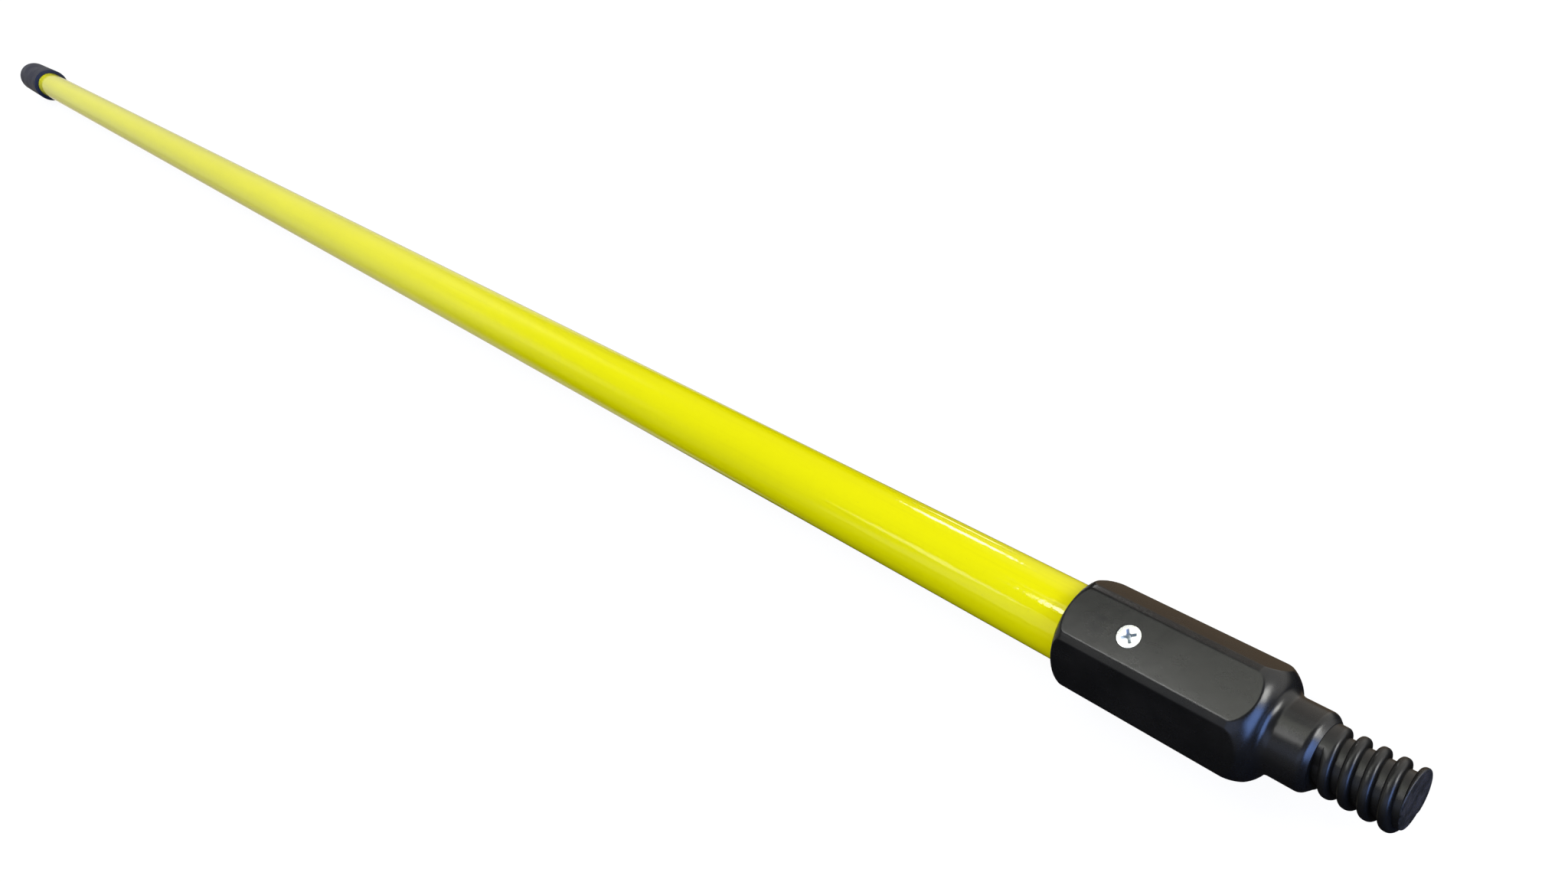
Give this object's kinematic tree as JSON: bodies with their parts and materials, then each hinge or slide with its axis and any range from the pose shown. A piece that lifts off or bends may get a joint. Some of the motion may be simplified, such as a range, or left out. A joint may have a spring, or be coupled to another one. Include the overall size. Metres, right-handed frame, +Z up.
{
  "type": "roller extension pole",
  "caption": "Fixed-length yellow fibreglass pole with a black hexagonal tip that ends in a coarse male thread, and a closed push-on end cap.",
  "frame": {"origin": "under the middle of the pole, on the surface that it lies on", "axes": "+X along the pole towards the thread, +Z up out of the flat that holds the screw"},
  "size_m": [1.5718, 0.0362, 0.0328],
  "materials": {
    "yellow_fibreglass": "glossy, faintly rippled along the pole",
    "black_nylon": "satin moulded, with light handling marks",
    "bright_zinc": "bright zinc plate",
    "hardwood": "plain turned",
    "black_rubber": "satin moulded"
  },
  "bodies": {
    "root": {"pole_tube": "yellow_fibreglass", "threaded_tip": "black_nylon", "tip_screw": "bright_zinc", "reinforcing_dowel": "hardwood", "end_cap": "black_rubber"}
  },
  "joints": []
}
